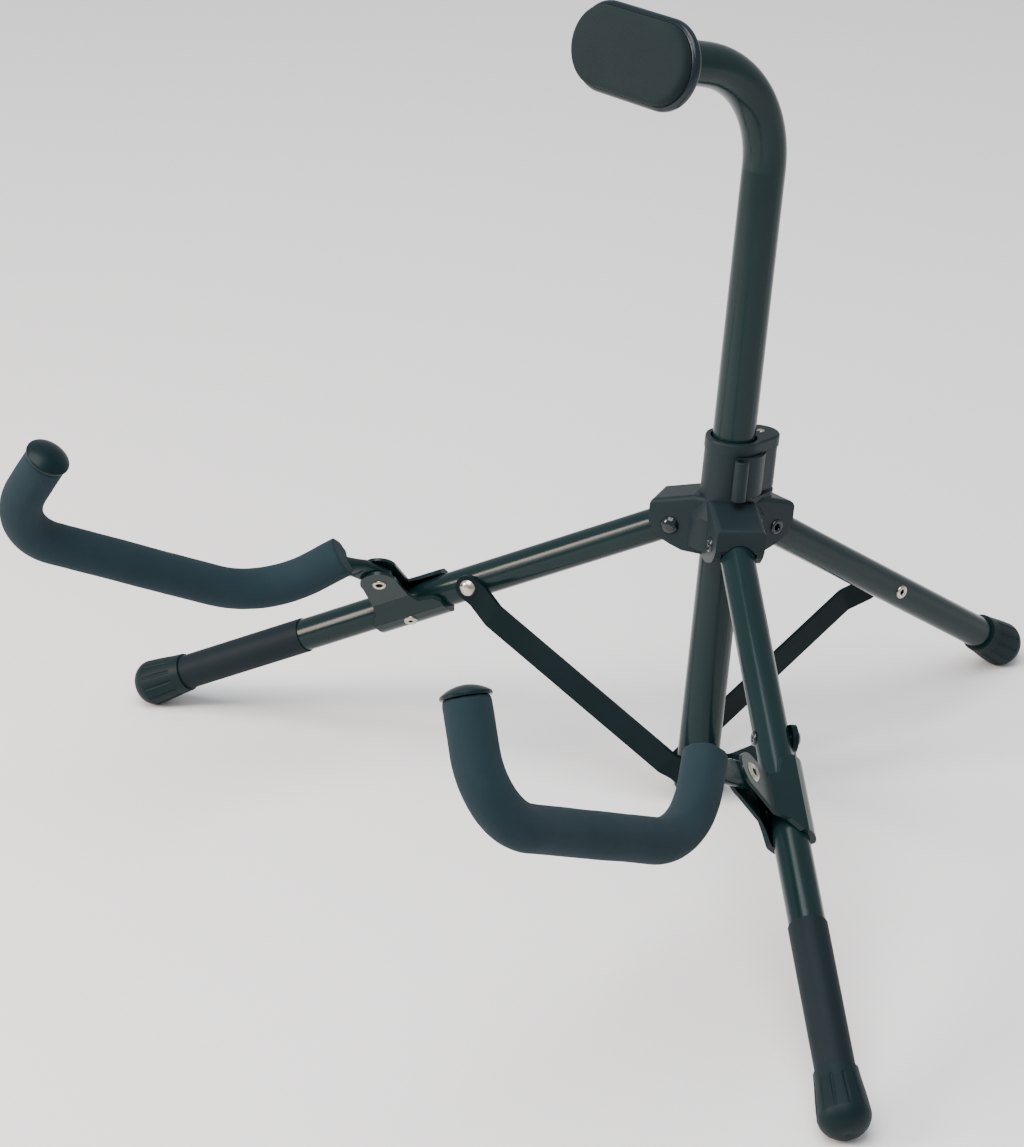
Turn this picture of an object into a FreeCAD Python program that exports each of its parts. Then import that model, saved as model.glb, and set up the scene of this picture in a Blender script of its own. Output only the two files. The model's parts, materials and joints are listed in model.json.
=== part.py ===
import FreeCAD, Part
import math
import os

# Folding tripod stand for one guitar, in millimetres, one STEP file for each separate piece.
#
# Frames used below:
#   stand frame     +Z up, floor at Z = 0, the front of the stand (where the guitar leans) at -Y
#   mast frame      origin at the hub centre, z up along the mast, y towards the rear leg
#   leg frame       mast frame turned about z: x points out over one leg, y is that leg's head side,
#                   where the rivet heads and the brace are
#   leg axis frame  origin at the leg's hub rivet: x to the head side, y up from the leg, z down
#                   along the leg
#   bracket frame   leg axis frame turned about z: x along the arm's rivet, y up the bracket's ears

Vector = FreeCAD.Vector
Placement = FreeCAD.Placement
Rotation = FreeCAD.Rotation

# Whole stand
MAST_TILT = 6.93         # degrees that the mast leans back
HUB_HEIGHT = 171.3       # hub centre above the floor
HUB_Y = 51.3             # hub centre behind the middle of the footprint
LEG_SLOPE = 28.7         # degrees, every leg below the plane across the mast
AZIMUTHS = {"left": 210.0, "right": 330.0, "rear": 90.0}
FRONT_LEGS = ("left", "right")

# Mast tube, bent forward at the top
MAST_R = 12.5
MAST_WALL = 1.5
MAST_BOTTOM = -165.0     # along the mast, from the hub centre
MAST_BEND_START = 216.0
MAST_BEND_R = 65.0
MAST_BEND_ANGLE = 80.0
MAST_REACH = 47.0        # straight stretch after the bend

# Back pad
PAD_WIDTH = 96.5
PAD_HEIGHT = 50.0
PAD_SHELL_T = 6.0
PAD_CUSHION_T = 5.6
PAD_LIP = 2.6
PAD_ROLL = 0.8           # degrees about the tube's end
PAD_SCREW_R = 2.5

# Hub
HUB_R = 16.2
HUB_BORE_R = 13.7        # 1.2 clear of the mast all round
HUB_TOP = 56.5
HUB_FLANGE_BOTTOM = 49.5
HUB_SHELF_TOP = 22.0
HUB_BOTTOM = -14.0
HUB_BASE_R = 22.5
HUB_BASE_BOTTOM = -9.5
HUB_BASE_TOP = 10.0      # the base tapers from here up to the column
LOBE_Y = 20.0
LOBE_R = 12.0
CLEVIS_WIDTH = 29.0
CLEVIS_SLOT = 21.0
CLEVIS_REACH = 42.0
CLEVIS_TOP_IN = 20.5
CLEVIS_TOP_OUT = 13.2
CLEVIS_ROUND = 3.2
LEG_PIVOT_R = 28.7       # from the mast's axis to each leg's rivet
HUB_RIVET_HEAD_R = 5.5

# Lock lever
LEVER_PIN_Y = 21.5
LEVER_PIN_R = 2.5
LEVER_BOTTOM = 24.5
LEVER_TOP = 49.0
LEVER_SHELL_IN = 16.8
LEVER_SHELL_OUT = 19.6
LEVER_BEAD_R = 4.2
LEVER_BEAD_AZIMUTH = -27.0

# Legs
LEG_R = 10.0
LEG_WALL = 1.2
LEG_INNER_END = -6.0     # past the rivet, inside the hub
LEG_LENGTHS = {"left": 387.5, "right": 387.5, "rear": 276.5}   # rivet to the end of the foot
HUB_RIVET_R = 3.0
BRACE_RIVET_S = 138.6    # along the leg
BRACE_RIVET_R = 2.5
SLEEVE_START = 262.0
SLEEVE_R = 10.75
FOOT_LENGTH = 36.0
FOOT_RIM_R = 12.0
FOOT_MAX_R = 14.25
FOOT_DOME = 10.0
FOOT_FLUTES = 12
FOOT_BORE_DEPTH = 28.0

# Braces
BRACE_ANGLE = 30.7       # degrees below the plane across the mast
BRACE_WIDTH = 15.5
BRACE_T = 3.0
BRACE_LENGTH = 174.8     # rivet to rivet
BRACE_LEG_OFFSET = 11.8  # the strap's middle plane from the leg's middle plane
BRACE_MID_OFFSET = 18.7
BRACE_MAST_OFFSET = 15.1
MAST_RIVET_R = 2.5
OPEN_PIVOT_PLAY = 2.2    # hole larger than the rivet where the linkage is left open
MAST_RIVET_Z = -155.8

# Arm brackets, on the front legs
BRACKET_ANGLE = -42.5    # degrees, from the leg's head side to the arm's rivet
BRACKET_START = 158.5
BRACKET_END = 208.0
BRACKET_T = 2.0
BRACKET_WRAP_R = 13.4
EAR_GAP = 7.8
EAR_SHIFT = 3.0          # the ears' middle plane from the leg's axis, towards the rivet's head
ARM_PIVOT_S = 183.0
ARM_PIVOT_E = 37.8       # up from the leg's axis
BRACKET_RIVET_S = 184.5
BRACKET_RIVET_R = 2.5
ARM_RIVET_R = 3.0

# Arms: corners of the left arm in the mast frame, from the foam's cut end to its tip
ARM_R = 6.35
ARM_WALL = 1.2
ARM_FLAT_T = 7.4
ARM_FLAT_W = 15.8
ARM_FLAT_BEFORE = 8.0    # flat stretch on each side of the rivet
ARM_FLAT_AFTER = 15.0
ARM_TAPER = 13.0         # from flat to round
ARM_FOAM_END = Vector(-159.3, -154.8, -45.6)
ARM_ELBOW_DEPTH = 11.0   # the tube's elbow is this far inside the foam
ARM_CORNER_BACK = Vector(-189.8, -188.9, -77.4)
ARM_CORNER_FRONT = Vector(-217.8, -355.9, -12.8)
ARM_TIP = Vector(-186.4, -347.7, 38.2)
ARM_ELBOW_R = 9.0
ARM_BACK_R = 59.0
ARM_FRONT_R = 39.0
FOAM_R = 12.3
CAP_DOME = 4.3

FIT = 0.02               # pieces of one body
RUNNING = 0.05           # a pin that turns in its hole

STAND = Placement(Vector(0, HUB_Y, HUB_HEIGHT), Rotation(Vector(1, 0, 0), -MAST_TILT))
X = Vector(1, 0, 0)
Y = Vector(0, 1, 0)
Z = Vector(0, 0, 1)
ORIGIN = Vector(0, 0, 0)


def frame(origin, x_axis, y_axis, z_axis):
    """A placement from an origin and three unit axes."""
    matrix = FreeCAD.Matrix(
        x_axis.x, y_axis.x, z_axis.x, origin.x,
        x_axis.y, y_axis.y, z_axis.y, origin.y,
        x_axis.z, y_axis.z, z_axis.z, origin.z,
        0, 0, 0, 1)
    return Placement(matrix)


def placed(shape, placement):
    moved = shape.copy()
    moved.Placement = placement.multiply(moved.Placement)
    return moved


def slope(angle):
    """Unit vector that goes out and down by an angle, in the leg frame."""
    radians = math.radians(angle)
    return Vector(math.cos(radians), 0, -math.sin(radians))


def leg_frame(side):
    return STAND.multiply(Placement(ORIGIN, Rotation(Z, AZIMUTHS[side])))


def leg_axis_frame(side):
    down = slope(LEG_SLOPE)
    return leg_frame(side).multiply(frame(Vector(LEG_PIVOT_R, 0, 0), Y, down.cross(Y), down))


def bracket_frame():
    turn = Placement(ORIGIN, Rotation(Z, BRACKET_ANGLE))
    return leg_axis_frame("left").multiply(turn)


def brace_frame(side):
    """Origin at the brace's rivet on the leg, x along the strap, y to the head side."""
    down = slope(LEG_SLOPE)
    rivet = Vector(LEG_PIVOT_R, 0, 0) + down * BRACE_RIVET_S
    along = slope(BRACE_ANGLE)
    along.x = -along.x
    return leg_frame(side).multiply(frame(rivet, along, Y, along.cross(Y)))


def write(node, shape, solids=1):
    """Export one node, after checking that it is what it should be."""
    shape = shape.removeSplitter()
    if len(shape.Solids) != solids or not shape.isValid():
        raise ValueError("%s: %d solids, valid %s" % (node, len(shape.Solids), shape.isValid()))
    shape.exportStep("parts/%s.step" % node)


def write_mirrored(name, shape):
    """Export a piece of the left side and its mirror image on the right."""
    write(name + "_left", shape)
    write(name + "_right", shape.mirror(ORIGIN, X))


def cylinder(radius, start, end, centre=ORIGIN):
    """A cylinder along z."""
    return Part.makeCylinder(radius, end - start, Vector(centre.x, centre.y, start))


def ring(outer, inner, start, end):
    return cylinder(outer, start, end).cut(cylinder(inner, start - 1, end + 1))


def cross_pin(radius, start, end, x, z):
    """A cylinder along y."""
    return Part.makeCylinder(radius, end - start, Vector(x, start, z), Y)


def polygon(points):
    return Part.Face(Part.makePolygon(points + [points[0]]))


def turned(profile):
    """Solid of revolution about z, from (radius, z) points or arcs given as three points."""
    edges = []
    for piece in profile:
        points = [Vector(radius, 0, height) for radius, height in piece]
        if len(points) == 2:
            edges.append(Part.LineSegment(points[0], points[1]).toShape())
        else:
            edges.append(Part.Arc(points[0], points[1], points[2]).toShape())
    return Part.Face(Part.Wire(edges)).revolve(ORIGIN, Z, 360)


def bend_points(points, radii):
    """Each bend as its arc's start, middle and end, tangent to the two runs."""
    bends = []
    for before, corner, after, radius in zip(points, points[1:], points[2:], radii):
        back = (before - corner).normalize()
        ahead = (after - corner).normalize()
        half = back.getAngle(ahead) / 2
        tangent = radius / math.tan(half)
        inward = (back + ahead).normalize()
        middle = corner + inward * (radius / math.sin(half) - radius)
        bends.append((corner + back * tangent, middle, corner + ahead * tangent))
    return bends


def bent_wire(points, radii):
    """Straight runs joined by tangent arcs."""
    edges = []
    last = points[0]
    for start, middle, end in bend_points(points, radii):
        edges.append(Part.LineSegment(last, start).toShape())
        edges.append(Part.Arc(start, middle, end).toShape())
        last = end
    edges.append(Part.LineSegment(last, points[-1]).toShape())
    return Part.Wire(edges)


def bent_tube(points, radii, outer, inner):
    """A round tube along a bent path."""
    path = bent_wire(points, radii)
    along = (points[1] - points[0]).normalize()
    section = Part.Face(Part.Wire(Part.makeCircle(outer, points[0], along)))
    section = section.cut(Part.Face(Part.Wire(Part.makeCircle(inner, points[0], along))))
    return path.makePipe(section.Faces[0])


def bent_rod(points, radii, outer):
    """A round bar along a bent path."""
    along = (points[1] - points[0]).normalize()
    section = Part.Face(Part.Wire(Part.makeCircle(outer, points[0], along)))
    return bent_wire(points, radii).makePipe(section)


def rivet(head_r, head_h, shank_r, grip, tail_r, tail_h):
    """Domed rivet along z: head above z = 0, tail rolled over below -grip, hollow in the tail."""
    hollow = shank_r * 0.62
    hollow_depth = grip * 0.4
    dome = [
        [(0, head_h), (head_r * 0.72, head_h * 0.68), (head_r, head_h * 0.12)],
        [(head_r, head_h * 0.12), (head_r, 0)],
        [(head_r, 0), (shank_r, 0)],
        [(shank_r, 0), (shank_r, -grip)],
        [(shank_r, -grip), (tail_r, -grip)],
        [(tail_r, -grip), ((tail_r + hollow) / 2 + 0.3, -grip - tail_h), (hollow, -grip)],
        [(hollow, -grip), (hollow, -grip + hollow_depth)],
        [(hollow, -grip + hollow_depth), (0, -grip + hollow_depth + hollow)],
        [(0, -grip + hollow_depth + hollow), (0, head_h)],
    ]
    return turned(dome)


def tubular_rivet(flange_r, tail_r, shank_r, hole_r, half_grip, flange_t):
    """Hollow rivet along z, with a flange at +z and a smaller rolled rim at -z."""
    profile = [
        [(hole_r, half_grip + 0.4), ((hole_r + flange_r) / 2, half_grip + flange_t), (flange_r, half_grip)],
        [(flange_r, half_grip), (shank_r, half_grip)],
        [(shank_r, half_grip), (shank_r, -half_grip)],
        [(shank_r, -half_grip), (tail_r, -half_grip)],
        [(tail_r, -half_grip), ((hole_r + tail_r) / 2, -half_grip - flange_t), (hole_r, -half_grip - 0.4)],
        [(hole_r, -half_grip - 0.4), (hole_r, half_grip + 0.4)],
    ]
    return turned(profile)


def stadium(width, height, level):
    """Face across z, long way along x."""
    half = (width - height) / 2
    radius = height / 2
    edges = [
        Part.LineSegment(Vector(-half, -radius, level), Vector(half, -radius, level)).toShape(),
        Part.Arc(Vector(half, -radius, level), Vector(half + radius, 0, level),
                 Vector(half, radius, level)).toShape(),
        Part.LineSegment(Vector(half, radius, level), Vector(-half, radius, level)).toShape(),
        Part.Arc(Vector(-half, radius, level), Vector(-half - radius, 0, level),
                 Vector(-half, -radius, level)).toShape(),
    ]
    return Part.Face(Part.Wire(edges))


# Mast and pad -------------------------------------------------------------------------------

def mast_end():
    """Centre and direction of the bent tube's open end, in the mast frame."""
    angle = math.radians(MAST_BEND_ANGLE)
    direction = Vector(0, -math.sin(angle), math.cos(angle))
    arc_end = Vector(0, -MAST_BEND_R * (1 - math.cos(angle)), MAST_BEND_START + MAST_BEND_R * math.sin(angle))
    return arc_end + direction * MAST_REACH, direction


def make_mast():
    end, direction = mast_end()
    tangent = MAST_BEND_R * math.tan(math.radians(MAST_BEND_ANGLE / 2))
    corner = Vector(0, 0, MAST_BEND_START + tangent)
    points = [Vector(0, 0, MAST_BOTTOM), corner, end]
    tube = bent_tube(points, [MAST_BEND_R], MAST_R, MAST_R - MAST_WALL)
    for side in AZIMUTHS:
        hole = Part.makeCylinder(MAST_RIVET_R + FIT, MAST_R + 5, Vector(0, 0, MAST_RIVET_Z), Y)
        tube = tube.cut(placed(hole, Placement(ORIGIN, Rotation(Z, AZIMUTHS[side]))))
    write("mast_tube", placed(tube, STAND))


def make_foot_plug():
    """Plastic plug that closes the mast's lower end and takes the three strap rivets."""
    inside = MAST_R - MAST_WALL - FIT
    plug = cylinder(inside, MAST_BOTTOM + 0.2, MAST_RIVET_Z + 9)
    plug = plug.fuse(cylinder(MAST_R, MAST_BOTTOM - 1.8, MAST_BOTTOM - 0.02))
    plug = plug.fuse(cylinder(inside, MAST_BOTTOM - 0.02, MAST_BOTTOM + 0.2))
    for side in AZIMUTHS:
        hole = cross_pin(MAST_RIVET_R + FIT, 4.4, MAST_R + 5, 0, MAST_RIVET_Z)
        plug = plug.cut(placed(hole, Placement(ORIGIN, Rotation(Z, AZIMUTHS[side]))))
    write("mast_foot_plug", placed(plug, STAND))


def make_strap_rivets():
    """One rivet for each brace, from the side into the mast's lower end."""
    underside = BRACE_MAST_OFFSET + BRACE_T / 2 + 1.0
    grip = underside - 4.5
    shape = turned([
        [(0, 2.6), (4.4, 1.8), (6.0, 0.3)],
        [(6.0, 0.3), (6.0, 0)],
        [(6.0, 0), (MAST_RIVET_R, 0)],
        [(MAST_RIVET_R, 0), (MAST_RIVET_R, -grip)],
        [(MAST_RIVET_R, -grip), (0, -grip)],
        [(0, -grip), (0, 2.6)],
    ])
    outward = frame(Vector(0, underside, MAST_RIVET_Z), Z, X, Y)
    for side in AZIMUTHS:
        write("strap_rivet_" + side, placed(shape, leg_frame(side).multiply(outward)))


def pad_frame():
    """Origin at the mast's open end, z forward out of the tube, x along the pad."""
    end, direction = mast_end()
    base = frame(end, -X, direction.cross(-X), direction)
    return STAND.multiply(base).multiply(Placement(ORIGIN, Rotation(Z, PAD_ROLL)))


def make_pad():
    place = pad_frame()
    inside = MAST_R - MAST_WALL - FIT
    plug = cylinder(inside, -20, 0.0).fuse(cylinder(MAST_R, 0.02, 2.0)).fuse(cylinder(inside, -1, 1))
    plug = plug.cut(cylinder(PAD_SCREW_R + FIT, -14, 3))
    write("mast_end_plug", placed(plug, place))

    back = 2.05
    shell = stadium(PAD_WIDTH, PAD_HEIGHT, back).extrude(Z * PAD_SHELL_T)
    shell = shell.makeFillet(2.6, edges_at(shell, back) + edges_at(shell, back + PAD_SHELL_T))
    recess = stadium(PAD_WIDTH - 2 * PAD_LIP, PAD_HEIGHT - 2 * PAD_LIP, back + 3.0)
    shell = shell.cut(recess.extrude(Z * PAD_SHELL_T))
    shell = shell.cut(cylinder(PAD_SCREW_R + RUNNING, 0, 20))
    write("pad_shell", placed(shell, place))

    low = back + 3.0 + 0.02
    width = PAD_WIDTH - 2 * PAD_LIP - 0.4
    height = PAD_HEIGHT - 2 * PAD_LIP - 0.4
    cushion = stadium(width, height, low).extrude(Z * (3.0 + PAD_CUSHION_T))
    cushion = cushion.makeFillet(3.4, edges_at(cushion, low + 3.0 + PAD_CUSHION_T))
    cushion = cushion.cut(cylinder(5.0, low - 1, low + 2.6))
    write("pad_cushion", placed(cushion, place))

    head = low + 0.1
    screw = cylinder(PAD_SCREW_R, -13, head).fuse(cylinder(4.4, head, head + 2.0))
    screw = screw.cut(Part.makeBox(6, 1, 1, Vector(-3, -0.5, head + 1.2)))
    write("pad_screw", placed(screw, place))


def edges_at(shape, level):
    """The edges that lie at one height."""
    box = [edge.BoundBox for edge in shape.Edges]
    flat = [abs(b.ZMin - level) < 1e-4 and abs(b.ZMax - level) < 1e-4 for b in box]
    return [edge for edge, keep in zip(shape.Edges, flat) if keep]


# Hub and lock lever -------------------------------------------------------------------------

def lobe_face(level, grow=0.0):
    """Keyhole outline: the column's circle and the rear lobe's circle, joined by tangents."""
    big = HUB_R + grow
    small = LOBE_R + grow
    lean = math.asin((big - small) / LOBE_Y)
    sine = math.sin(lean)
    cosine = math.cos(lean)
    front = [Vector(big * cosine, big * sine, level), Vector(0, -big, level), Vector(-big * cosine, big * sine, level)]
    rear = [Vector(-small * cosine, LOBE_Y + small * sine, level), Vector(0, LOBE_Y + small, level),
            Vector(small * cosine, LOBE_Y + small * sine, level)]
    edges = [
        Part.Arc(front[0], front[1], front[2]).toShape(),
        Part.LineSegment(front[2], rear[0]).toShape(),
        Part.Arc(rear[0], rear[1], rear[2]).toShape(),
        Part.LineSegment(rear[2], front[0]).toShape(),
    ]
    return Part.Face(Part.Wire(edges))


def sector(radius, bottom, top, start, end):
    """Wedge about the lever's pin, from one angle to another, anticlockwise from +x."""
    wedge = Part.makeCylinder(radius, top - bottom, Vector(0, 0, bottom), Z, end - start)
    turn = Placement(Vector(0, LEVER_PIN_Y, 0), Rotation(Z, start))
    return placed(wedge, turn)


def clevis_body():
    """Hood over one leg's inner end, in the leg frame."""
    half = CLEVIS_WIDTH / 2
    outline = [
        Vector(6, -half, CLEVIS_TOP_IN), Vector(17, -half, CLEVIS_TOP_IN),
        Vector(CLEVIS_REACH, -half, CLEVIS_TOP_OUT), Vector(CLEVIS_REACH, -half, 1),
        Vector(CLEVIS_REACH - 2.5, -half, -4), Vector(CLEVIS_REACH - 7, -half, -8.5),
        Vector(CLEVIS_REACH - 14, -half, HUB_BOTTOM + 2.5), Vector(CLEVIS_REACH - 22, -half, HUB_BOTTOM),
        Vector(6, -half, HUB_BOTTOM),
    ]
    hood = polygon(outline).extrude(Y * CLEVIS_WIDTH)
    top_edges = [edge for edge in hood.Edges
                 if edge.BoundBox.ZMin > CLEVIS_TOP_OUT - 0.1 and edge.BoundBox.XMax > 6.1
                 and (edge.BoundBox.YLength < 0.1 or edge.BoundBox.XMin > CLEVIS_REACH - 0.1)]
    return hood.makeFillet(CLEVIS_ROUND, top_edges)


def clevis_space():
    """Room for one leg from spread to folded, in the leg frame."""
    down = slope(LEG_SLOPE)
    pivot = Vector(LEG_PIVOT_R, 0, 0)
    half = CLEVIS_SLOT / 2
    arch = Part.makeCylinder(half, 80, pivot, down)
    turn = cross_pin(12.3, -half, half, LEG_PIVOT_R, 0)
    far = pivot + down * 80
    low = HUB_BOTTOM - 40
    inner = LEG_PIVOT_R - 12.3
    outline = [pivot, far, Vector(far.x, 0, low), Vector(inner, 0, low), Vector(inner, 0, 0)]
    outline = [Vector(point.x, -half, point.z) for point in outline]
    swing = polygon(outline).extrude(Y * CLEVIS_SLOT)
    return arch.fuse([turn, swing])


def make_hub():
    body = cylinder(HUB_R, HUB_BOTTOM, HUB_TOP)
    flange = lobe_face(HUB_FLANGE_BOTTOM, 0.4).extrude(Z * (HUB_TOP - HUB_FLANGE_BOTTOM))
    flange = flange.makeFillet(1.4, edges_at(flange, HUB_TOP))
    shelf = lobe_face(HUB_BOTTOM + 8).extrude(Z * (HUB_SHELF_TOP - HUB_BOTTOM - 8))
    lobe = lobe_face(HUB_SHELF_TOP).extrude(Z * (HUB_FLANGE_BOTTOM - HUB_SHELF_TOP))
    lobe = lobe.common(sector(60, HUB_SHELF_TOP, HUB_FLANGE_BOTTOM, 104, 262))
    lobe = lobe.cut(cylinder(6.6, HUB_SHELF_TOP, HUB_FLANGE_BOTTOM, Vector(0, LEVER_PIN_Y, 0)))
    base = turned([
        [(0, HUB_BASE_BOTTOM), (HUB_BASE_R, HUB_BASE_BOTTOM)],
        [(HUB_BASE_R, HUB_BASE_BOTTOM), (HUB_BASE_R, HUB_BASE_TOP)],
        [(HUB_BASE_R, HUB_BASE_TOP), (HUB_R, HUB_SHELF_TOP - 2)],
        [(HUB_R, HUB_SHELF_TOP - 2), (0, HUB_SHELF_TOP - 2)],
        [(0, HUB_SHELF_TOP - 2), (0, HUB_BASE_BOTTOM)],
    ])
    body = body.fuse([flange, shelf, lobe, base])
    for azimuth in AZIMUTHS.values():
        turn = Placement(ORIGIN, Rotation(Z, azimuth))
        body = body.fuse(placed(clevis_body(), turn))
    for azimuth in AZIMUTHS.values():
        turn = Placement(ORIGIN, Rotation(Z, azimuth))
        body = body.cut(placed(clevis_space(), turn))
        body = body.cut(placed(cross_pin(HUB_RIVET_R + FIT, -20, 20, LEG_PIVOT_R, 0), turn))
    body = body.cut(cylinder(HUB_BORE_R, HUB_BOTTOM - 1, HUB_TOP + 1))
    window = Part.makeBox(15, 14, LEVER_TOP - LEVER_BOTTOM, Vector(-7.5, 8, LEVER_BOTTOM))
    body = body.cut(window)
    body = body.cut(cylinder(LEVER_PIN_R + FIT, 12, HUB_TOP + 1, Vector(0, LEVER_PIN_Y, 0)))
    write("hub_body", placed(body, STAND))

    pin = cylinder(LEVER_PIN_R, 12.2, HUB_TOP + 0.3, Vector(0, LEVER_PIN_Y, 0))
    pin = pin.makeFillet(0.8, edges_at(pin, HUB_TOP + 0.3))
    write("lever_pin", placed(pin, STAND))

    grip = CLEVIS_WIDTH
    shape = rivet(HUB_RIVET_HEAD_R, 3.0, HUB_RIVET_R, grip, 4.5, 1.3)
    outward = frame(Vector(LEG_PIVOT_R, CLEVIS_WIDTH / 2, 0), Z, X, Y)
    for side in AZIMUTHS:
        write("hub_rivet_" + side, placed(shape, leg_frame(side).multiply(outward)))


def make_lever():
    """Lock lever: a boss with a cam on the pin, and a curved plate that ends in a finger bead."""
    height = LEVER_TOP - LEVER_BOTTOM
    pin = Vector(0, LEVER_PIN_Y, 0)
    cheek = lobe_face(LEVER_BOTTOM, -0.3).extrude(Z * height)
    cheek = cheek.common(sector(60, LEVER_BOTTOM, LEVER_TOP, -95, 58))
    cheek = cheek.cut(cylinder(LEVER_SHELL_IN, LEVER_BOTTOM - 1, LEVER_TOP + 1))
    plate = ring(LEVER_SHELL_OUT, LEVER_SHELL_IN, LEVER_BOTTOM, LEVER_TOP)
    start = LEVER_BEAD_AZIMUTH - 6
    wedge = Part.makeCylinder(40, height, Vector(0, 0, LEVER_BOTTOM), Z, 75 - start)
    plate = plate.common(placed(wedge, Placement(ORIGIN, Rotation(Z, start))))
    boss = cylinder(6.0, LEVER_BOTTOM, LEVER_TOP, pin)
    cam = cylinder(4.0, LEVER_BOTTOM + 2, LEVER_TOP - 2, pin - Y * 3.6)
    azimuth = math.radians(LEVER_BEAD_AZIMUTH)
    spot = Vector(math.cos(azimuth), math.sin(azimuth), 0) * (LEVER_SHELL_OUT + 1.2)
    bead = cylinder(LEVER_BEAD_R, LEVER_BOTTOM, LEVER_TOP - 0.5, spot)
    bead = bead.makeFillet(0.7, edges_at(bead, LEVER_TOP - 0.5))
    lever = cheek.fuse([plate, boss, bead])
    lever = lever.cut(cylinder(HUB_R + 0.5, LEVER_BOTTOM - 1, LEVER_TOP + 1))
    lever = lever.fuse(cam)
    lever = lever.cut(cylinder(LEVER_PIN_R + RUNNING, LEVER_BOTTOM - 1, LEVER_TOP + 1, pin))
    lever = lever.cut(cylinder(LEVER_BEAD_R - 1.6, LEVER_TOP - 14, LEVER_TOP, spot))
    write("lock_lever", placed(lever, STAND))


# Legs ---------------------------------------------------------------------------------------

def foot_shape(length):
    """Fluted rubber cap with a domed end, in the leg axis frame."""
    rim = length - FOOT_LENGTH
    middle = length - FOOT_DOME
    shape = turned([
        [(0, rim), (FOOT_RIM_R, rim)],
        [(FOOT_RIM_R, rim), (FOOT_RIM_R + 0.5, rim + 7)],
        [(FOOT_RIM_R + 0.5, rim + 7), (FOOT_RIM_R + 1.6, rim + 17), (FOOT_MAX_R, middle)],
        [(FOOT_MAX_R, middle), (FOOT_MAX_R * 0.72, middle + FOOT_DOME * 0.76), (0, length)],
        [(0, length), (0, rim)],
    ])
    for index in range(FOOT_FLUTES):
        angle = 2 * math.pi * index / FOOT_FLUTES
        spot = Vector(math.cos(angle), math.sin(angle), 0)
        start = spot * (FOOT_RIM_R + 1.2) + Z * (rim + 7)
        along = (spot * (FOOT_MAX_R - FOOT_RIM_R) + Z * (FOOT_LENGTH - FOOT_DOME - 5)).normalize()
        groove = Part.makeCylinder(1.3, 18, start, along)
        groove = groove.fuse(Part.makeSphere(1.3, start)).fuse(Part.makeSphere(1.3, start + along * 18))
        shape = shape.cut(groove)
    return shape.cut(cylinder(LEG_R + FIT, rim - 1, rim + FOOT_BORE_DEPTH))


def make_leg(side):
    place = leg_axis_frame(side)
    length = LEG_LENGTHS[side]
    rim = length - FOOT_LENGTH
    front = side in FRONT_LEGS
    tube = ring(LEG_R, LEG_R - LEG_WALL, LEG_INNER_END, rim + FOOT_BORE_DEPTH - 0.1)
    tube = tube.cut(Part.makeCylinder(HUB_RIVET_R + RUNNING, 40, Vector(-20, 0, 0), X))
    tube = tube.cut(Part.makeCylinder(BRACE_RIVET_R + FIT, 40, Vector(-20, 0, BRACE_RIVET_S), X))
    if front:
        hole = Part.makeCylinder(BRACKET_RIVET_R + FIT, 20, Vector(0, 0, BRACKET_RIVET_S), X)
        angle = BRACKET_ANGLE if side == "left" else 180 - BRACKET_ANGLE
        tube = tube.cut(placed(hole, Placement(ORIGIN, Rotation(Z, angle))))
        sleeve = ring(SLEEVE_R, LEG_R + FIT, SLEEVE_START, rim - 0.05)
        write("leg_sleeve_" + side, placed(sleeve, place))
    write("leg_tube_" + side, placed(tube, place))

    floor = Part.makeBox(2000, 2000, 100, Vector(-1000, -1000, -100))
    write("foot_" + side, placed(foot_shape(length), place).cut(floor))

    underside = BRACE_LEG_OFFSET + BRACE_T / 2 + 0.15
    shape = rivet(5.15, 2.6, BRACE_RIVET_R, underside + LEG_R + FIT, 4.2, 1.2)
    outward = frame(Vector(underside, 0, BRACE_RIVET_S), Y, Z, X)
    write("brace_rivet_" + side, placed(shape, place.multiply(outward)))


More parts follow.
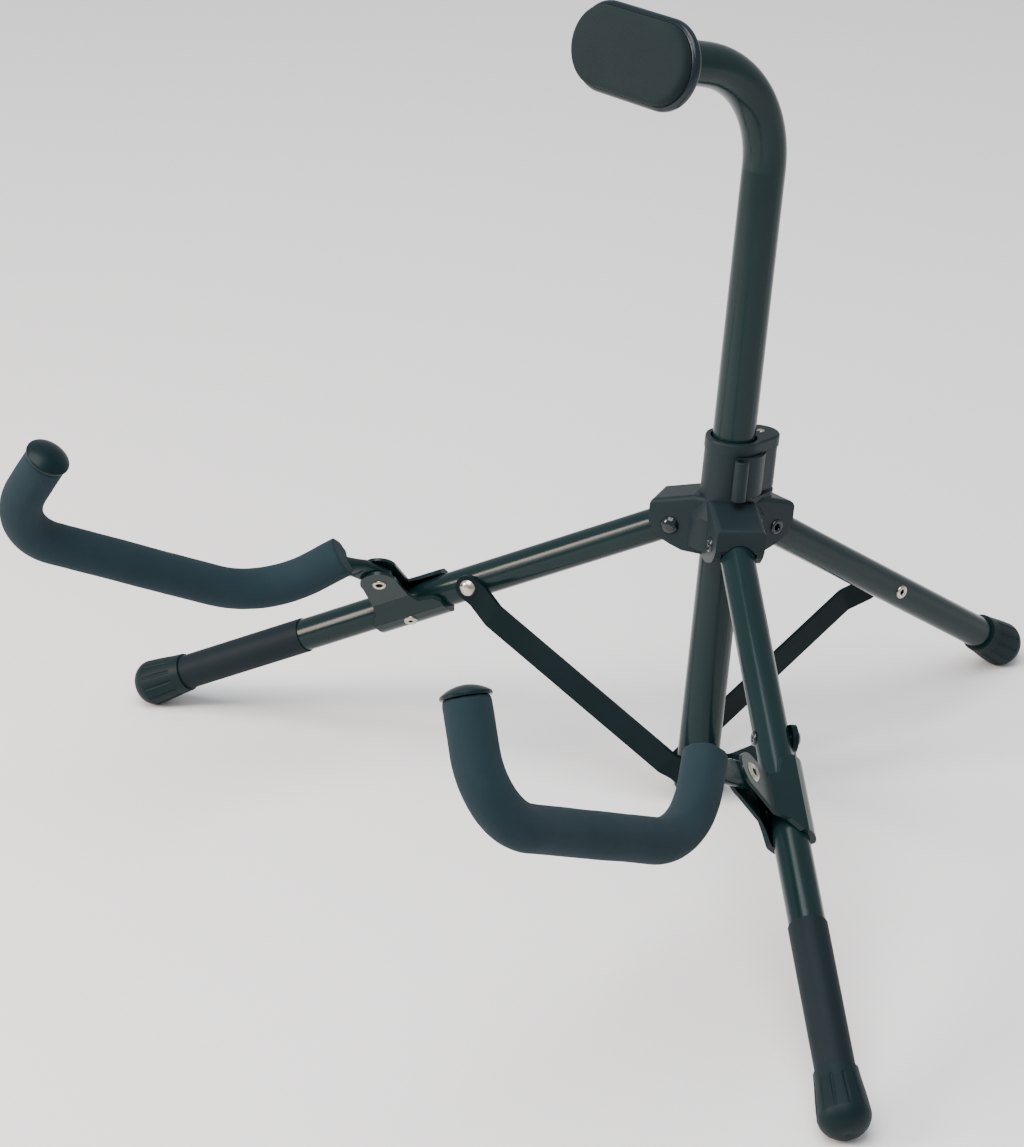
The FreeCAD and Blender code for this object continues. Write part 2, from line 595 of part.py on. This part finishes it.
def make_brace(side):
    """Flat strap with two joggles, in the brace frame."""
    half = BRACE_T / 2
    eye = BRACE_WIDTH / 2
    points = [
        Vector(-eye - 2, BRACE_LEG_OFFSET, 0), Vector(8, BRACE_LEG_OFFSET, 0),
        Vector(23, BRACE_MID_OFFSET, 0), Vector(158.5, BRACE_MID_OFFSET, 0),
        Vector(166, BRACE_MAST_OFFSET, 0), Vector(BRACE_LENGTH + eye + 2, BRACE_MAST_OFFSET, 0),
    ]
    bends = bend_points(points, [6.0] * 4)
    rows = {}
    for shift in (half, -half):
        row = [[points[0] + Y * shift]]
        for number, bend in enumerate(bends):
            before = (points[number + 1] - points[number]).normalize()
            after = (points[number + 2] - points[number + 1]).normalize()
            across = [Z.cross(before), Z.cross(before + after).normalize(), Z.cross(after)]
            row.append([point + normal * shift for point, normal in zip(bend, across)])
        row.append([points[-1] + Y * shift])
        rows[shift] = row
    edges = []
    for row in rows.values():
        last = row[0][0]
        for start, middle, end in row[1:-1]:
            edges.append(Part.LineSegment(last, start).toShape())
            edges.append(Part.Arc(start, middle, end).toShape())
            last = end
        edges.append(Part.LineSegment(last, row[-1][0]).toShape())
    edges.append(Part.LineSegment(rows[half][0][0], rows[-half][0][0]).toShape())
    edges.append(Part.LineSegment(rows[half][-1][0], rows[-half][-1][0]).toShape())
    face = Part.Face(Part.Wire(Part.__sortEdges__(edges)))
    face.translate(Z * -eye)
    strap = face.extrude(Z * BRACE_WIDTH)
    plan = stadium(BRACE_LENGTH + BRACE_WIDTH, BRACE_WIDTH, 0).extrude(Z * 40)
    plan = placed(plan, frame(Vector(BRACE_LENGTH / 2, 0, 0), X, -Z, Y))
    strap = strap.common(plan)
    play = RUNNING if side == "left" else OPEN_PIVOT_PLAY
    strap = strap.cut(cross_pin(BRACE_RIVET_R + RUNNING, 0, 40, 0, 0))
    strap = strap.cut(cross_pin(MAST_RIVET_R + play, 0, 40, BRACE_LENGTH, 0))
    write("brace_" + side, placed(strap, brace_frame(side)))


# Brackets and arms --------------------------------------------------------------------------

def bracket_section(wrap, half_width):
    """Outline across the leg: round below, drawn in to the two ears above."""
    top = ARM_PIVOT_E + 20
    right = [Vector(wrap, 0, 0), Vector(wrap, 4, 0),
             Vector(EAR_SHIFT + half_width, 19, 0), Vector(EAR_SHIFT + half_width, top, 0)]
    left = [Vector(EAR_SHIFT - half_width, top, 0), Vector(EAR_SHIFT - half_width, 19, 0),
            Vector(-wrap, 4, 0), Vector(-wrap, 0, 0)]
    edges = [Part.Arc(left[-1], Vector(0, -wrap, 0), right[0]).toShape()]
    edges += Part.makePolygon(right + left).Edges
    return Part.Face(Part.Wire(edges))


def make_bracket():
    place = bracket_frame()
    length = BRACKET_END - BRACKET_START
    outer = bracket_section(BRACKET_WRAP_R, EAR_GAP / 2 + BRACKET_T).extrude(Z * length)
    inner = bracket_section(LEG_R + FIT, EAR_GAP / 2).extrude(Z * length)
    sheet = outer.cut(inner)
    sheet.translate(Z * BRACKET_START)
    low = -BRACKET_WRAP_R
    ear = 11.2
    ear_top = ARM_PIVOT_E + 0.8
    outline = [
        Vector(-20, low, BRACKET_START + 4), Vector(-20, low + 5, BRACKET_START),
        Vector(-20, 7, BRACKET_START), Vector(-20, 11, BRACKET_START + 3), Vector(-20, 13, BRACKET_START + 13),
        Vector(-20, 19, BRACKET_START + 16), Vector(-20, ear_top, ARM_PIVOT_S - ear),
        Vector(-20, ear_top, ARM_PIVOT_S + ear),
        Vector(-20, 12, BRACKET_END - 6), Vector(-20, 6, BRACKET_END),
        Vector(-20, low + 4, BRACKET_END), Vector(-20, low, BRACKET_END - 4),
    ]
    blank = polygon(outline).extrude(X * 40)
    blank = blank.fuse(Part.makeCylinder(ear, 40, Vector(-20, ear_top, ARM_PIVOT_S), X))
    sheet = sheet.common(blank)
    hole = Part.makeCylinder(ARM_RIVET_R + FIT, 40, Vector(-20, ARM_PIVOT_E, ARM_PIVOT_S), X)
    sheet = sheet.cut(hole)
    sheet = sheet.cut(Part.makeCylinder(BRACKET_RIVET_R + FIT, 20, Vector(0, 0, BRACKET_RIVET_S), X))
    write_mirrored("bracket", placed(sheet, place))

    shape = turned([
        [(1.3, 0.9), (2.9, 1.5), (4.2, 0)],
        [(4.2, 0), (BRACKET_RIVET_R, 0)],
        [(BRACKET_RIVET_R, 0), (BRACKET_RIVET_R, -8)],
        [(BRACKET_RIVET_R, -8), (1.3, -8)],
        [(1.3, -8), (1.3, 0.9)],
    ])
    outward = frame(Vector(BRACKET_WRAP_R, 0, BRACKET_RIVET_S), Y, Z, X)
    write_mirrored("bracket_rivet", placed(shape, place.multiply(outward)))

    shape = tubular_rivet(6.0, 4.2, ARM_RIVET_R, 2.1, EAR_GAP / 2 + BRACKET_T + 0.02, 1.0)
    outward = frame(Vector(EAR_SHIFT, ARM_PIVOT_E, ARM_PIVOT_S), Y, -Z, -X)
    write_mirrored("arm_rivet", placed(shape, place.multiply(outward)))


def arm_points():
    """The arm's rivet, the foam's cut end and the tube's corners from its elbow on, in the stand frame."""
    pivot = bracket_frame().multVec(Vector(EAR_SHIFT, ARM_PIVOT_E, ARM_PIVOT_S))
    start, back, front, tip = [
        STAND.multVec(point) for point in (ARM_FOAM_END, ARM_CORNER_BACK, ARM_CORNER_FRONT, ARM_TIP)]
    elbow = start + (back - start).normalize() * ARM_ELBOW_DEPTH
    return pivot, start, [elbow, back, front, tip]


def tube_section(centre, across, thin, width, thickness):
    """Closed wire round the tube: two flats joined by two arcs."""
    straight = (width - thickness) / 2
    edge = thickness / 2
    corners = [
        centre + across * straight + thin * edge, centre - across * straight + thin * edge,
        centre - across * straight - thin * edge, centre + across * straight - thin * edge,
    ]
    edges = [
        Part.LineSegment(corners[0], corners[1]).toShape(),
        Part.Arc(corners[1], centre - across * (straight + edge), corners[2]).toShape(),
        Part.LineSegment(corners[2], corners[3]).toShape(),
        Part.Arc(corners[3], centre + across * (straight + edge), corners[0]).toShape(),
    ]
    return Part.Wire(edges)


def round_section(centre, across, thin, radius):
    """Circle in four arcs that match the pieces of tube_section."""
    spots = []
    for degrees in range(0, 360, 45):
        angle = math.radians(degrees + 45)
        spots.append(centre + across * (radius * math.cos(angle)) + thin * (radius * math.sin(angle)))
    spots.append(spots[0])
    edges = [Part.Arc(spots[i], spots[i + 1], spots[i + 2]).toShape() for i in range(0, 8, 2)]
    return Part.Wire(edges)


def arm_solid(pivot, across, thin, points, grow):
    """The arm's flattened end, taper and bent run as one bar, larger all round by grow."""
    flat_run = across.cross(thin)
    flat_start = pivot - flat_run * ARM_FLAT_BEFORE
    flat_end = pivot + flat_run * ARM_FLAT_AFTER
    along = (points[0] - flat_end).normalize()
    side = thin.cross(along).normalize()
    round_start = flat_end + along * ARM_TAPER
    wide = ARM_FLAT_W + 2 * grow
    thick = ARM_FLAT_T + 2 * grow
    start_face = Part.Face(tube_section(flat_start, across, thin, wide, thick))
    round_wire = round_section(round_start, side, along.cross(side), ARM_R + grow)
    taper = Part.makeLoft([tube_section(flat_end, across, thin, wide, thick), round_wire], True, True)
    radii = [ARM_ELBOW_R, ARM_BACK_R, ARM_FRONT_R]
    run = bent_wire([round_start] + points, radii).makePipe(Part.Face(round_wire))
    return start_face.extrude(flat_end - flat_start).fuse([taper, run])


def make_arm():
    pivot, foam_start, points = arm_points()
    thin = bracket_frame().Rotation.multVec(X)
    reach = points[0] - pivot
    flat_run = (reach - thin * reach.dot(thin)).normalize()
    across = thin.cross(flat_run)
    tip_run = (points[3] - points[2]).normalize()

    bar = arm_solid(pivot, across, thin, points, 0.0)
    tube = bar.cut(arm_solid(pivot, across, thin, points[:3] + [points[3] + tip_run], -ARM_WALL))
    corner_round = Part.makeCylinder(ARM_FLAT_W / 2, 40, pivot - thin * 20, thin)
    beyond = Part.makeBox(400, 400, 400, Vector(0, -200, -200))
    tube = tube.common(placed(beyond, frame(pivot, flat_run, across, thin)).fuse(corner_round))
    tube = tube.cut(Part.makeCylinder(ARM_RIVET_R + RUNNING, 40, pivot - thin * 20, thin))
    write_mirrored("arm_tube", tube)

    rod = bent_rod([foam_start, points[1], points[2], points[3] + tip_run], [ARM_BACK_R, ARM_FRONT_R], FOAM_R)
    foam = rod.cut(arm_solid(pivot, across, thin, points[:3] + [points[3] + tip_run * 5], 0.1))
    write_mirrored("arm_foam", foam)

    base = points[3] + tip_run * 1.05
    side_axis = tip_run.cross(X).normalize()
    stem = ARM_R - ARM_WALL - FIT
    rim = FOAM_R + 0.4
    dome_r = (rim * rim + CAP_DOME * CAP_DOME) / (2 * CAP_DOME)
    half = math.asin(rim / dome_r) / 2
    dome_middle = (dome_r * math.sin(half), 1.9 + CAP_DOME - dome_r * (1 - math.cos(half)))
    cap = turned([
        [(0, -14), (stem, -14)],
        [(stem, -14), (stem, 0)],
        [(stem, 0), (FOAM_R + 0.6, 0)],
        [(FOAM_R + 0.6, 0), (FOAM_R + 0.8, 0.5)],
        [(FOAM_R + 0.8, 0.5), (FOAM_R + 0.8, 1.3)],
        [(FOAM_R + 0.8, 1.3), (rim, 1.9)],
        [(rim, 1.9), dome_middle, (0, 1.9 + CAP_DOME)],
        [(0, 1.9 + CAP_DOME), (0, -14)],
    ])
    write_mirrored("arm_cap", placed(cap, frame(base, side_axis, tip_run.cross(side_axis), tip_run)))


os.makedirs("parts", exist_ok=True)
make_mast()
make_foot_plug()
make_strap_rivets()
make_pad()
make_hub()
make_lever()
for leg in AZIMUTHS:
    make_leg(leg)
    make_brace(leg)
make_bracket()
make_arm()
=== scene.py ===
import json
import math

import bpy
from mathutils import Matrix, Vector, noise


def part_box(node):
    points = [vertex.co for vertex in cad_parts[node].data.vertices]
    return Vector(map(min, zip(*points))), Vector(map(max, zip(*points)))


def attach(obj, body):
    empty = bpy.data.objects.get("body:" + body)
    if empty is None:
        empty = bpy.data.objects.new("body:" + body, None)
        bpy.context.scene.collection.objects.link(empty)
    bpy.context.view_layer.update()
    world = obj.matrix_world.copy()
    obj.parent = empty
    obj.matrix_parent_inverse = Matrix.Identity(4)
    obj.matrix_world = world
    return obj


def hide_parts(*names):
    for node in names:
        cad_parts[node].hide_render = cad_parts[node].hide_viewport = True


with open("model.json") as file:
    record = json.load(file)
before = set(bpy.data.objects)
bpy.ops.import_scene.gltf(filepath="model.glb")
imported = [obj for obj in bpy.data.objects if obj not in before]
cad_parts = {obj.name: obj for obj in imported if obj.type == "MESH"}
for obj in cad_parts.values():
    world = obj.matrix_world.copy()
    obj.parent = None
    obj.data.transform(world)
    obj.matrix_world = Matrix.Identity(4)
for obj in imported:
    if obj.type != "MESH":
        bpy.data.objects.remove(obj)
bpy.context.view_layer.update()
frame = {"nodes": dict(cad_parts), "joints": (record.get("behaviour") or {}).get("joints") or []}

NODES = frame["nodes"]
JOINTS = {joint["name"]: joint for joint in frame["joints"]}

# Soft pieces, in metres unless said otherwise
FOAM_VOXEL = 0.0015
FOAM_LUMPS = 0.00022         # height of the broad lumps
FOAM_DRAG = 0.00008          # height of the finer drag marks
LUMPS_PER_METRE = 38
DRAG_PER_METRE = 140
SEEDS = {"left": Vector((3.1, 0.7, 5.9)), "right": Vector((8.4, 2.2, 1.3))}
PAD_VOXEL = 0.0010
PAD_CROWN = 0.0011           # the pad's middle stands this far above its rim
PAD_GRAIN = 0.00005
PAD_GRAIN_PER_METRE = 90
CROWN_START = 0.55           # share of the pad's thickness where the crown begins
SOFTEN_STEPS = 5

# Materials
RAMP_START = 0.35
RAMP_END = 0.65
COAT_ROUGHNESS = 0.05

# Stage
FLOOR_SIZE = 30
SKY = (0.95, 0.97, 1.0, 1)
SKY_STRENGTH = 0.70
LENS = 107.47
SENSOR = 36
CAMERA_SPOT = Vector((1.32508, -1.18600, 1.02478))
CAMERA_BACK = Vector((0.69739, -0.56707, 0.43827))
CAMERA_ROLL = -0.75          # degrees


# Materials ----------------------------------------------------------------------------------

def ramp(tree, factor, low, high):
    """Colour that runs from low to high over the middle of the factor's range."""
    node = tree.nodes.new("ShaderNodeValToRGB")
    node.color_ramp.elements[0].position = RAMP_START
    node.color_ramp.elements[0].color = (*low, 1)
    node.color_ramp.elements[1].position = RAMP_END
    node.color_ramp.elements[1].color = (*high, 1)
    tree.links.new(factor, node.inputs["Fac"])
    return node.outputs["Color"]


def noise_value(tree, scale, detail=3.0, roughness=0.55):
    """Noise fixed to the object, at this many cells per metre."""
    coords = tree.nodes.new("ShaderNodeTexCoord")
    node = tree.nodes.new("ShaderNodeTexNoise")
    node.inputs["Scale"].default_value = scale
    node.inputs["Detail"].default_value = detail
    node.inputs["Roughness"].default_value = roughness
    tree.links.new(coords.outputs["Object"], node.inputs["Vector"])
    return node.outputs["Fac"]


def material(name, dark, light, rough, spread, grain, bump, depth,
             metallic=0.0, coat=0.0, specular=0.5, sheen=0.0,
    tone_scale=14.0):
    """Surface whose tone drifts from dark to light, with a varying roughness and a fine bump.

    Roughness is rough plus or minus spread; the bump has grain cells per metre and is depth metres high.
    """
    made = bpy.data.materials.new(name)
    made.use_nodes = True
    tree = made.node_tree
    shader = tree.nodes["Principled BSDF"]
    tone = noise_value(tree, tone_scale, 4.0)
    tree.links.new(ramp(tree, tone, dark, light), shader.inputs["Base Color"])
    wear = tree.nodes.new("ShaderNodeMapRange")
    wear.inputs["To Min"].default_value = rough - spread
    wear.inputs["To Max"].default_value = rough + spread
    tree.links.new(noise_value(tree, tone_scale * 6), wear.inputs["Value"])
    tree.links.new(wear.outputs["Result"], shader.inputs["Roughness"])
    relief = tree.nodes.new("ShaderNodeBump")
    relief.inputs["Strength"].default_value = bump
    relief.inputs["Distance"].default_value = depth
    tree.links.new(noise_value(tree, grain, 2.0), relief.inputs["Height"])
    tree.links.new(relief.outputs["Normal"], shader.inputs["Normal"])
    shader.inputs["Metallic"].default_value = metallic
    shader.inputs["Coat Weight"].default_value = coat
    shader.inputs["Coat Roughness"].default_value = COAT_ROUGHNESS
    shader.inputs["Specular IOR Level"].default_value = specular
    shader.inputs["Sheen Weight"].default_value = sheen
    return made


PAINT = material(
    "paint", (0.0040, 0.0142, 0.0155), (0.0050, 0.0164, 0.0178),
    rough=0.20, spread=0.02, grain=900, bump=0.03, depth=0.0002, specular=0.19)
STRAP = material(
    "strap_paint", (0.0015, 0.0070, 0.0088), (0.0028, 0.0092, 0.0112),
    rough=0.38, spread=0.05, grain=700, bump=0.06, depth=0.0003, specular=0.08)
HUB = material(
    "hub_plastic", (0.0095, 0.0172, 0.0205), (0.0115, 0.0200, 0.0235),
    rough=0.42, spread=0.04, grain=1500, bump=0.10, depth=0.0002, specular=0.12)
FOAM = material(
    "foam", (0.0125, 0.0255, 0.0325), (0.0152, 0.0295, 0.0372),
    rough=0.90, spread=0.04, grain=2600, bump=0.55, depth=0.0004, specular=0.07, sheen=0.03,
    tone_scale=24.0)
FOOT = material(
    "foot_rubber", (0.0030, 0.0108, 0.0130), (0.0048, 0.0138, 0.0162),
    rough=0.50, spread=0.06, grain=1200, bump=0.15, depth=0.0003, specular=0.12)
SLEEVE = material(
    "sleeve_pvc", (0.0048, 0.0105, 0.0140), (0.0062, 0.0125, 0.0165),
    rough=0.58, spread=0.05, grain=1400, bump=0.20, depth=0.0003, specular=0.12)
CAP = material(
    "cap_plastic", (0.0018, 0.0098, 0.0120), (0.0028, 0.0122, 0.0146),
    rough=0.34, spread=0.05, grain=1200, bump=0.10, depth=0.0002, specular=0.14)
SHELL = material(
    "pad_shell_plastic", (0.0032, 0.0098, 0.0145), (0.0046, 0.0122, 0.0175),
    rough=0.24, spread=0.04, grain=1100, bump=0.05, depth=0.0002, coat=0.12, specular=0.20)
CUSHION = material(
    "pad_cushion_skin", (0.0096, 0.0164, 0.0182), (0.0112, 0.0186, 0.0204),
    rough=0.76, spread=0.05, grain=2200, bump=0.40, depth=0.0004, specular=0.07, sheen=0.02,
    tone_scale=20.0)
RIVET_BLACK = material(
    "rivet_black", (0.0020, 0.0075, 0.0100), (0.0035, 0.0100, 0.0130),
    rough=0.16, spread=0.03, grain=900, bump=0.03, depth=0.0001, coat=0.30, specular=0.30)
NICKEL = material(
    "rivet_nickel", (0.34, 0.31, 0.26), (0.56, 0.53, 0.46),
    rough=0.24, spread=0.08, grain=1600, bump=0.10, depth=0.0002, metallic=1.0, tone_scale=180.0)
PLUG = material(
    "plug_plastic", (0.0060, 0.0120, 0.0140), (0.0085, 0.0150, 0.0170),
    rough=0.50, spread=0.05, grain=1300, bump=0.15, depth=0.0003, specular=0.15)

# The first name that a node starts with gives its finish.
FINISHES = [
    ("leg_tube", PAINT), ("mast_tube", PAINT), ("arm_tube", PAINT),
    ("bracket_rivet", NICKEL), ("bracket_", PAINT), ("strap_rivet", NICKEL),
    ("brace_rivet_right", RIVET_BLACK), ("brace_rivet", NICKEL), ("brace_", STRAP),
    ("hub_rivet", RIVET_BLACK), ("hub_body", HUB), ("lock_lever", HUB), ("lever_pin", NICKEL),
    ("arm_rivet", NICKEL), ("arm_cap", CAP), ("foot_", FOOT), ("leg_sleeve", SLEEVE), ("pad_shell", SHELL),
    ("pad_screw", NICKEL), ("mast_foot_plug", PLUG), ("mast_end_plug", PLUG),
    ("arm_foam", FOAM), ("pad_cushion", CUSHION),
]
for name, node in NODES.items():
    finish = next(made for start, made in FINISHES if name.startswith(start))
    node.data.materials.clear()
    node.data.materials.append(finish)


# Soft pieces --------------------------------------------------------------------------------

def remeshed(name, node, voxel):
    """A closed, even mesh of a CAD node, as a new object."""
    made = bpy.data.objects.new(name, NODES[node].data.copy())
    bpy.context.scene.collection.objects.link(made)
    remesh = made.modifiers.new("even", "REMESH")
    remesh.mode = "VOXEL"
    remesh.voxel_size = voxel
    soften = made.modifiers.new("soften", "SMOOTH")
    soften.factor = 0.5
    soften.iterations = SOFTEN_STEPS
    graph = bpy.context.evaluated_depsgraph_get()
    mesh = bpy.data.meshes.new_from_object(made.evaluated_get(graph))
    made.modifiers.clear()
    made.data = mesh
    return made


def finished(piece, node, body, made):
    """Give a soft piece its material and smooth shading, parent it to its body and hide the CAD node it
    replaces.
    """
    piece.data.materials.clear()
    piece.data.materials.append(made)
    for polygon in piece.data.polygons:
        polygon.use_smooth = True
    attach(piece, body)
    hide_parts(node)


def foam_arm(side):
    """Foam tube with the slight lumps and drag marks of a sleeve pushed over a bent bar."""
    node = "arm_foam_" + side
    piece = remeshed("foam_" + side, node, FOAM_VOXEL)
    normals = [vertex.normal.copy() for vertex in piece.data.vertices]
    for vertex, normal in zip(piece.data.vertices, normals):
        lumps = noise.noise(vertex.co * LUMPS_PER_METRE + SEEDS[side])
        drag = noise.noise(vertex.co * DRAG_PER_METRE + SEEDS[side])
        vertex.co += normal * (FOAM_LUMPS * lumps + FOAM_DRAG * drag)
    finished(piece, node, "arm_" + side, FOAM)


def pad_cushion():
    """The pad's face: crowned towards its middle, with a soft edge."""
    piece = remeshed("pad_face", "pad_cushion", PAD_VOXEL)
    swivel = JOINTS["pad_swivel"]
    origin = Vector(swivel["pos_m"])
    forward = Vector(swivel["axis"]).normalized()
    heights = [(vertex.co - origin).dot(forward) for vertex in piece.data.vertices]
    low, high = min(heights), max(heights)
    centre = sum((vertex.co for vertex in piece.data.vertices), Vector()) / len(heights)
    reach = max((vertex.co - centre).length for vertex in piece.data.vertices)
    for vertex, height in zip(piece.data.vertices, heights):
        share = (height - low) / (high - low)
        if share < CROWN_START:
            continue
        across = (vertex.co - centre).length / reach
        crown = PAD_CROWN * max(0.0, 1 - across * across)
        rise = crown * (share - CROWN_START) / (1 - CROWN_START)
        grain = PAD_GRAIN * noise.noise(vertex.co * PAD_GRAIN_PER_METRE)
        vertex.co += forward * (rise + grain)
    finished(piece, "pad_cushion", "pad", CUSHION)


foam_arm("left")
foam_arm("right")
pad_cushion()


# Stage --------------------------------------------------------------------------------------

def area_light(name, target, direction, distance, size, size_y, power, colour):
    """Rectangular light that faces its target from the given direction."""
    data = bpy.data.lights.new(name, "AREA")
    data.shape = "RECTANGLE"
    data.size = size
    data.size_y = size_y
    data.energy = power
    data.color = colour
    light = bpy.data.objects.new(name, data)
    aim = Vector(direction).normalized()
    light.rotation_mode = "QUATERNION"
    light.rotation_quaternion = aim.to_track_quat("Z", "Y")
    light.location = Vector(target) + aim * distance
    bpy.context.scene.collection.objects.link(light)


bpy.ops.mesh.primitive_plane_add(size=FLOOR_SIZE, location=(0, 0, 0))
floor = bpy.context.object
floor.name = "floor"
floor.data.materials.append(material(
    "floor_paper", (0.86, 0.86, 0.86), (0.89, 0.89, 0.89),
    rough=0.9, spread=0.02, grain=300, bump=0.02, depth=0.0003, specular=0.1,
    tone_scale=0.8))

world = bpy.data.worlds.new("studio")
bpy.context.scene.world = world
world.use_nodes = True
background = world.node_tree.nodes["Background"]
background.inputs["Color"].default_value = SKY
background.inputs["Strength"].default_value = SKY_STRENGTH

# A strip light whose reflection runs along the left leg, and a broad soft light from above.
low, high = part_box("leg_tube_left")
leg_middle = (low + high) / 2
area_light("stripe", leg_middle, (-0.3, -0.83, 0.46), distance=2.4, size=0.6, size_y=1.0, power=62,
           colour=(1.0, 0.81, 0.71))
area_light("key", (0, 0, 0.2), (0.15, -0.35, 1.0), distance=2.6, size=2.2, size_y=2.2, power=105,
           colour=(1.0, 1.0, 1.0))

camera_data = bpy.data.cameras.new("camera")
camera_data.sensor_width = SENSOR
camera_data.lens = LENS
camera = bpy.data.objects.new("camera", camera_data)
back = CAMERA_BACK.normalized()
level = Vector((0, 0, 1)).cross(back).normalized()
roll = math.radians(CAMERA_ROLL)
right = level * math.cos(roll) + back.cross(level) * math.sin(roll)
up = back.cross(right)
turned = Matrix((right, up, back)).transposed().to_4x4()
camera.matrix_world = Matrix.Translation(CAMERA_SPOT) @ turned
bpy.context.scene.collection.objects.link(camera)
bpy.context.scene.camera = camera
